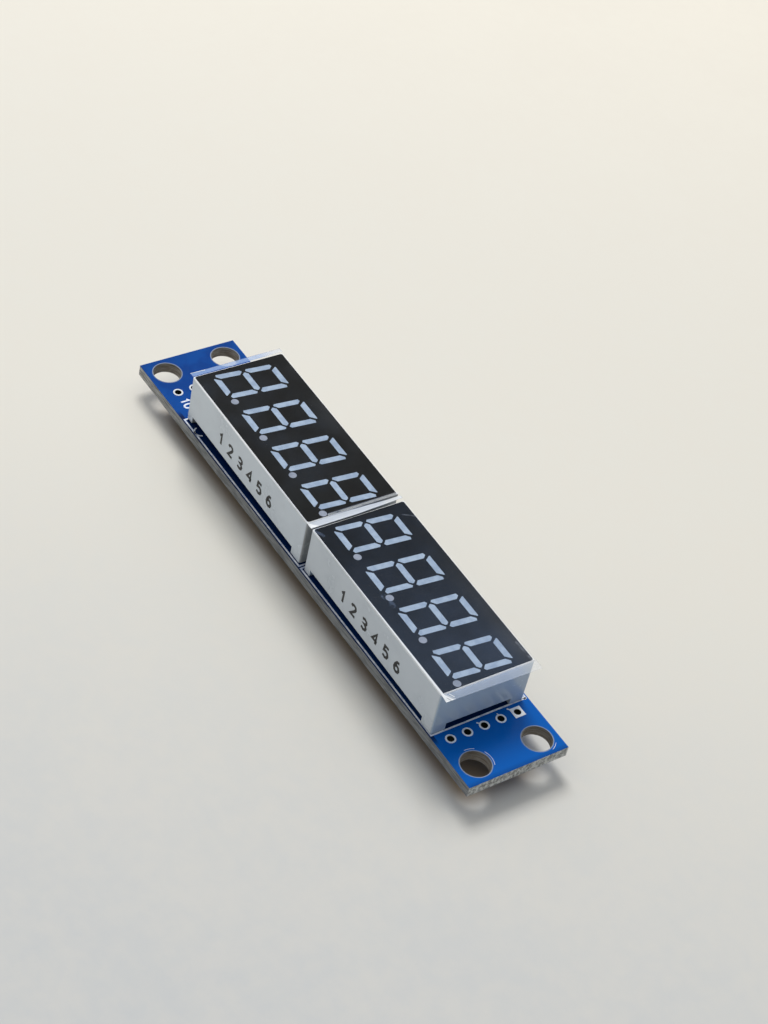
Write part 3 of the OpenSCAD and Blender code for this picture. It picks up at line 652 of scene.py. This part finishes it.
PIN_PITCH = 2.54
HEADER_Y = -0.2 + PIN_PITCH * np.arange(-2, 3)
outline_left = [(1.30, -7.2), (-28.8, -7.2), (-28.8, 7.2), (1.30, 7.2)]
outline_right = [(1.75, -7.2), (32.25, -7.2), (32.25, 7.2), (1.75, 7.2)]
legend = [inked(corners, 0.24, INK, closed=True) for corners in (outline_left, outline_right)]
legend += [inked(arc(-25.9, -6.35, 0.85, 190, 350), 0.2, INK)]
for i, y in enumerate(HEADER_Y[::-1]):
    legend += number(str(i + 6), -32.55, y - 0.62, 1.25, 0.26, INK)
for corners, width in (([(31.85, 6.65), (32.35, 7.15)], 0.36), ([(32.7, 3.92), (33.0, 4.22)], 0.2),
                       ([(32.78, 2.33), (33.02, 2.42)], 0.16), ([(32.93, -0.88), (33.17, -0.62)], 0.18)):
    legend += [inked(corners, width, INK)]
for y, start, end in ((-MOUNT_Y, 150, 184), (-MOUNT_Y, 62, 118), (MOUNT_Y, 20, 50)):
    legend += [inked(arc(MOUNT_X, y, 2.34, start, end), 0.06, INK)]
points, faces = gathered(legend)
piece("board_legend", white, points + (0, 0, BOARD_TOP), faces)

# %% [markdown]
# ## Tracks below
# Under the board, copper tracks join the driver to the pins of the displays and to the two
# rows of header holes. They run under the mask, so they show only as blue ridges. A track is
# the same ribbon as an inked line. The driver's own tracks fan out in steps: the nearest pin
# takes the outermost lane, so that no two of them cross. What is drawn is turned half round
# about the Y axis at the end, which lays it on the lower face and leaves numbers readable.

# %% Tracks below
def beneath(lines):
    """Lines drawn as seen from below, with x to the left, turned onto the board's lower face."""
    flat, faces = gathered(lines)
    return flat * (-1, 1, -1) + (0, 0, BOARD_BOTTOM), faces


TRACK, TRACK_W, LANE, PIN_PAD_EDGE, VIA_R = 0.03, 0.26, 0.5, 4.3, 0.24
PIN_X = {"left": -13.95 + PIN_PITCH * (np.arange(6) - 2.5), "right": 17.15 + PIN_PITCH * (np.arange(6) - 2.5)}
routes = []
CHIP_ENDS = {"left": -4.0, "right": 7.2}
for side, pins in (("left", PIN_X["left"][::-1]), ("right", PIN_X["right"])):
    outward = 1 if side == "right" else -1
    for lane, pin in enumerate(pins):
        y = 3.6 - LANE * lane
        bend = pin - outward * (PIN_PAD_EDGE - y)
        for row in (-1, 1):
            routes.append([(CHIP_ENDS[side], row * y), (bend, row * y), (pin, row * PIN_PAD_EDGE)])
routes += [
    [(-33.3, 4.88), (-31.8, 6.45), (-6.2, 6.45), (-5.4, 5.6)],
    [(-33.3, -5.28), (-32.0, -6.6), (-6.4, -6.6), (-5.4, -5.6)],
    [(-33.3, -2.74), (-24.5, -2.74), (-22.2, -0.45), (-4.0, -0.45)],
    [(-27.9, 2.8), (-23.6, 2.8), (-21.2, 0.45), (-4.0, 0.45)],
    [(-33.3, -0.2), (-32.1, 0.0)], [(-33.3, 2.34), (-32.0, 2.7)],
    [(-28.8, 0.0), (-26.5, 0.0)], [(-24.1, 0.0), (-22.9, 0.0)],
    [(32.9, 4.88), (31.4, 6.45), (9.4, 6.45), (8.6, 5.6)],
    [(32.9, -5.28), (31.6, -6.6), (9.6, -6.6), (8.6, -5.6)],
    [(32.9, -2.74), (26.5, -2.74), (24.2, -0.45), (7.2, -0.45)],
    [(32.9, 2.34), (26.1, 2.34), (24.2, 0.45), (7.2, 0.45)],
    [(32.9, -0.2), (27.4, -0.2)],
]
ridges = [inked(np.array(route) * (-1, 1), TRACK_W, TRACK) for route in routes]
for x, y in ((-22.6, 0.0), (27.1, -0.2), (-29.4, -5.2), (29.8, 4.4)):
    ridges.append(inked(arc(-x, y, VIA_R, 0, 345), 0.2, TRACK, closed=True))
covered = Finish("masked_copper", Specular_IOR_Level=0.15)
fade = covered.between(covered.noise(0.8, 3), 0.35, 0.65)
covered.surface(Base_Color=covered.mix(fade, srgb(16, 96, 188), srgb(26, 108, 198)),
                Roughness=0.22 + fade * 0.1)
points, faces = beneath(ridges)
piece("board_tracks", covered, points, faces)

# %% [markdown]
# ## Legend below
# Outlines show where the driver and the three small parts sit, a cross marks the positive
# end of the bulk capacitor, and numbers name the holes. The print runs over tracks in some
# places, so it is as thick as a track and a coat of ink together, and never sinks into one.


# %% Legend below
def frame_line(x, y, l, w):
    """Corners of a part's outline about its middle."""
    return [(x - l / 2, y - w / 2), (x + l / 2, y - w / 2), (x + l / 2, y + w / 2), (x - l / 2, y + w / 2)]


OVER_TRACKS = TRACK + INK
below = [inked(frame_line(*sizes), 0.15, OVER_TRACKS, closed=True) for sizes in (
    (30.0, 0.0, 4.4, 1.8), (25.3, 0.0, 3.2, 1.8), (30.0, 2.8, 4.6, 2.3))]
below += [inked(path, 0.16, OVER_TRACKS) for path in ([(26.9, 4.3), (27.7, 4.3)], [(27.3, 3.9), (27.3, 4.7)])]
below += [inked(frame_line(-1.6, 0, 16.6, 8.0), 0.15, OVER_TRACKS, closed=True)]
for x, first in ((-32.3, 1), (31.9, 6)):
    for i, y in enumerate(HEADER_Y[::-1]):
        label = str(i + first)
        left = x + 0.6 if x < 0 else x - 0.95
        if abs(y) > 4 or x < 0:
            below += number(label, left, y - 0.5, 1.0, 0.18, OVER_TRACKS)
points, faces = beneath(below)
piece("board_legend_below", white, points, faces)

# %% [markdown]
# ## Numbers on the long walls
# The wall below the digits is printed with the numbers of the six pins under it, in thin
# black ink. The strokes are drawn flat and then stood up against the wall of the turned
# display, so they follow it exactly.


# %% Wall numbers
def on_display(side, points):
    """Points given in a display's own frame, carried to where the display stands: turned, then moved."""
    c, s = math.cos(TURN), math.sin(TURN)
    turned = points @ np.array([[c, s, 0], [-s, c, 0], [0, 0, 1]])
    return turned + seat(side)


DISPLAY_L, DISPLAY_W, DISPLAY_H = 30.1, 14.0, 7.2
black = Finish("wall_ink", IOR=1.5, Roughness=0.5)
faded = black.between(black.noise(2.5, 3), 0.3, 0.75)
black.surface(Base_Color=black.mix(faded, srgb(8, 10, 13), srgb(26, 29, 34)))
for side in ("left", "right"):
    strokes = []
    for i in range(6):
        strokes += number(str(i + 1), PIN_PITCH * (i - 2.5) - 0.5, 2.5, tall=1.7, width=0.4, thickness=INK)
    flat, faces = gathered(strokes)
    upright = np.stack([flat[:, 0], -DISPLAY_W / 2 - flat[:, 2], flat[:, 1]], 1)
    piece(f"{side}_wall_numbers", black, on_display(side, upright), faces)

# %% [markdown]
# ## Protective films
# Each display still wears its clear film. It lies flat on the face, hangs past the outer
# end, where it bends down, and bridges the slot between the displays, where it is crumpled.
# One finish does both films, and its masks are places along the board: past either end, and
# in the slot, where the lifted part narrows towards the far edge.

# %% Film zones
film = Finish("clear_film", IOR=1.45, Roughness=0.14, Specular_IOR_Level=0.3)
left_end, seam, right_end = -29.0, (1.02, 2.16), 32.2
past_left = 1 - film.between(film.x, left_end - 0.06, left_end + 0.02)
past_right = film.between(film.x, right_end - 0.02, right_end + 0.08)
narrowing = film.between(film.y, -3, 7)
bridge = film.between(film.x, seam[0] + narrowing * 0.32, seam[0] + narrowing * 0.34 + 0.1)
bridge = bridge * (1 - film.between(film.x, seam[1] - 0.06 - narrowing * 0.26, seam[1] - narrowing * 0.26))
film_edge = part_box("left_film")[0].y / MM
# painted highlight: a white strip along the film's long edge
painted_edge_glint = 1 - film.between(film.y, film_edge + 0.12, film_edge + 0.18)
print("films start at y", round(film_edge, 2))

# %% [markdown]
# ## Creases and marks
# A crease in clear film is a thin white line. A painted picture could carry all of them,
# but each is only a line from one point to another, so one function draws it: a point's
# distance to the line says whether it is on the crease. Broader, softer lines make the
# crumpled corners and the smudges, and noise breaks up the faint marks.


# %% Creases
def streak(x0, y0, x1, y1, width, soft=0.5):
    """1 along a line from one point of a film to another, and 0 farther from it than the width."""
    length = math.hypot(x1 - x0, y1 - y0)
    along = ((film.x - x0) * ((x1 - x0) / length) + (film.y - y0) * ((y1 - y0) / length)) / length
    nearest = film.node("ShaderNodeClamp", inputs={0: along})
    dx, dy = film.x - x0 - nearest * (x1 - x0), film.y - y0 - nearest * (y1 - y0)
    return 1 - film.between((dx * dx + dy * dy) ** 0.5, width * soft, width)


broken = film.between(film.noise(1.1, 4), 0.38, 0.56)
creases = sum((streak(*line) for line in (
    (32.2, -7.1, 33.45, -6.1, 0.12), (32.9, -6.9, 33.4, -6.7, 0.09), (32.35, -6.3, 32.9, -5.9, 0.06),
    (1.1, -6.95, 1.75, -6.4, 0.12), (1.6, -7.0, 2.1, -6.2, 0.07), (-29.1, -7.0, -29.85, -6.9, 0.16),
    (-29.82, -6.9, -29.7, -4.5, 0.08),
)), start=0)
crumpled = streak(32.5, -7.0, 33.4, -6.2, 0.55, 0.2) + streak(1.3, -7.0, 2.0, -6.2, 0.4, 0.2)
smudges = streak(0.76, -3.6, 0.9, 6.9, 0.34, 0.2) * film.between(film.noise(0.8, 4, (1, 0.5, 1)), 0.3, 0.5)
marks = sum((streak(*line) * broken for line in (
    (4.4, 5.4, 5.4, 6.9, 0.14), (2.5, -6.8, 3.6, -6.2, 0.3), (28.9, 6.2, 31.9, 6.3, 0.2),
    (15.6, -4.8, 17.4, -4.6, 0.5),
)), start=0)
print("creases and marks in", film.material.name)

# %% [markdown]
# ## Clear and milky film
# A glass shader would throw a dark shadow on the face below so thin a sheet. So the finish
# mixes a clear shader with a milky one, and a mask says how milky each spot is: where the
# film has lifted and where it is creased. A painted highlight makes it milky white along the
# long edge, and a painted sheen lies faintly over the faces, more over the near display. A
# second mask says where the milky part is white and no longer blue.

# %% Film finish
# painted sheen: a faint milkiness over the faces, stronger over the near display
painted_sheen = film.between(film.noise(0.12, 3), 0.4, 0.75) * 0.012 + film.between(film.x, 1.0, 32.0) * 0.024
over_table = film.between(film.y, 3.5, 6.8)
milky = (past_left * 0.42 + past_right * 0.25) * (1 - over_table * 0.45) + bridge * 0.66
milky = milky + painted_edge_glint * 0.8 + creases * 0.6 + crumpled * 0.3 + smudges * 0.24 + marks * 0.06 + painted_sheen
white_part = painted_edge_glint + creases + crumpled * 0.6 + bridge * 0.8 + smudges + past_right * 0.5 + over_table * 0.7
whitened = film.node("ShaderNodeClamp", inputs={0: white_part})
film.surface(Base_Color=film.mix(whitened, srgb(160, 188, 232), srgb(234, 239, 244)))
clear = film.node("ShaderNodeBsdfTransparent")
body = Wire(film, film.shader.outputs[0])
seen_through = film.node("ShaderNodeMixShader",
                         inputs={0: film.node("ShaderNodeClamp", inputs={0: milky}), 1: clear, 2: body})
film.tree.links.new(seen_through.socket, film.output.inputs["Surface"])
print(film.material.name, "has", len(film.tree.nodes), "nodes")

# %% [markdown]
# ## Film shapes
# Seen from above a film is a plain rectangle with slightly slanting ends. Its height follows
# the face, with shallow blisters where air is caught. Past the outer end it droops, and over
# the slot the left film bows a little. Two such surfaces, one just above the other, are joined
# round their edges into a closed sheet.


# %% Film shapes
FILM_T = 0.04


def sheet(side, start, end, sag):
    """A film over one display: a grid from end to end and edge to edge, whose height is the face's level
    plus small blisters, less a bend that grows with the square of the distance past the face."""
    u, v = np.meshgrid(np.linspace(0, 1, 180), np.linspace(0, 1, 70), indexing="ij")
    skew = 0.28 * (v - 0.5) * (1 if side == "right" else 0.9)
    x = start + (end - start) * u
    outer = np.clip((x - DISPLAY_L / 2) if side == "right" else (-DISPLAY_L / 2 - x), 0, None)
    inner = np.clip((-DISPLAY_L / 2 - x) if side == "right" else (x - DISPLAY_L / 2), 0, None)
    x = x + np.sign(x) * np.clip(outer / 1.2, 0, 1) * skew
    y = -DISPLAY_W / 2 + 0.02 + (DISPLAY_W + 0.1) * v
    blister = 0.004 * (1 + np.sin(1.7 * x + 2.1 * np.sin(0.9 * y)) * np.sin(1.3 * y + 0.7 * x))
    bow = 0.05 * np.sin(np.pi * np.clip(inner, 0, 1)) * (1 + 0.6 * np.sin(1.9 * y + 1.5 * np.sin(0.8 * y)))
    z = DISPLAY_H + 0.012 + blister - sag * outer**2 - bow
    upper = np.stack([x, y, z + FILM_T], -1)
    return np.stack([upper, upper - (0, 0, FILM_T)], 0)


def closed_sheet(layers):
    """Two grids of equal size, upper and lower, joined round their edges."""
    _, rows, columns, _ = layers.shape
    upper = grid_faces(rows, columns)[:, ::-1]
    lower = grid_faces(rows, columns) + rows * columns
    index = np.arange(rows * columns).reshape(rows, columns)
    loop = np.concatenate([index[:-1, 0], index[-1, :-1], index[:0:-1, -1], index[0, :0:-1]])
    following = np.roll(loop, -1)
    walls = np.stack([loop, following, following + rows * columns, loop + rows * columns], 1)
    return np.concatenate([upper, lower, walls]).tolist()


FILM_ENDS = {"left": (-DISPLAY_L / 2 - 0.85, DISPLAY_L / 2 + 0.98),
             "right": (-DISPLAY_L / 2 + 0.1, DISPLAY_L / 2 + 1.2)}
for side, (start, end) in FILM_ENDS.items():
    layers = sheet(side, start, end, sag=0.12)
    points = on_display(side, layers.reshape(-1, 3))
    made = piece(f"{side}_clear_film", film, points, closed_sheet(layers), smooth=True)
    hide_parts(f"{side}_film")
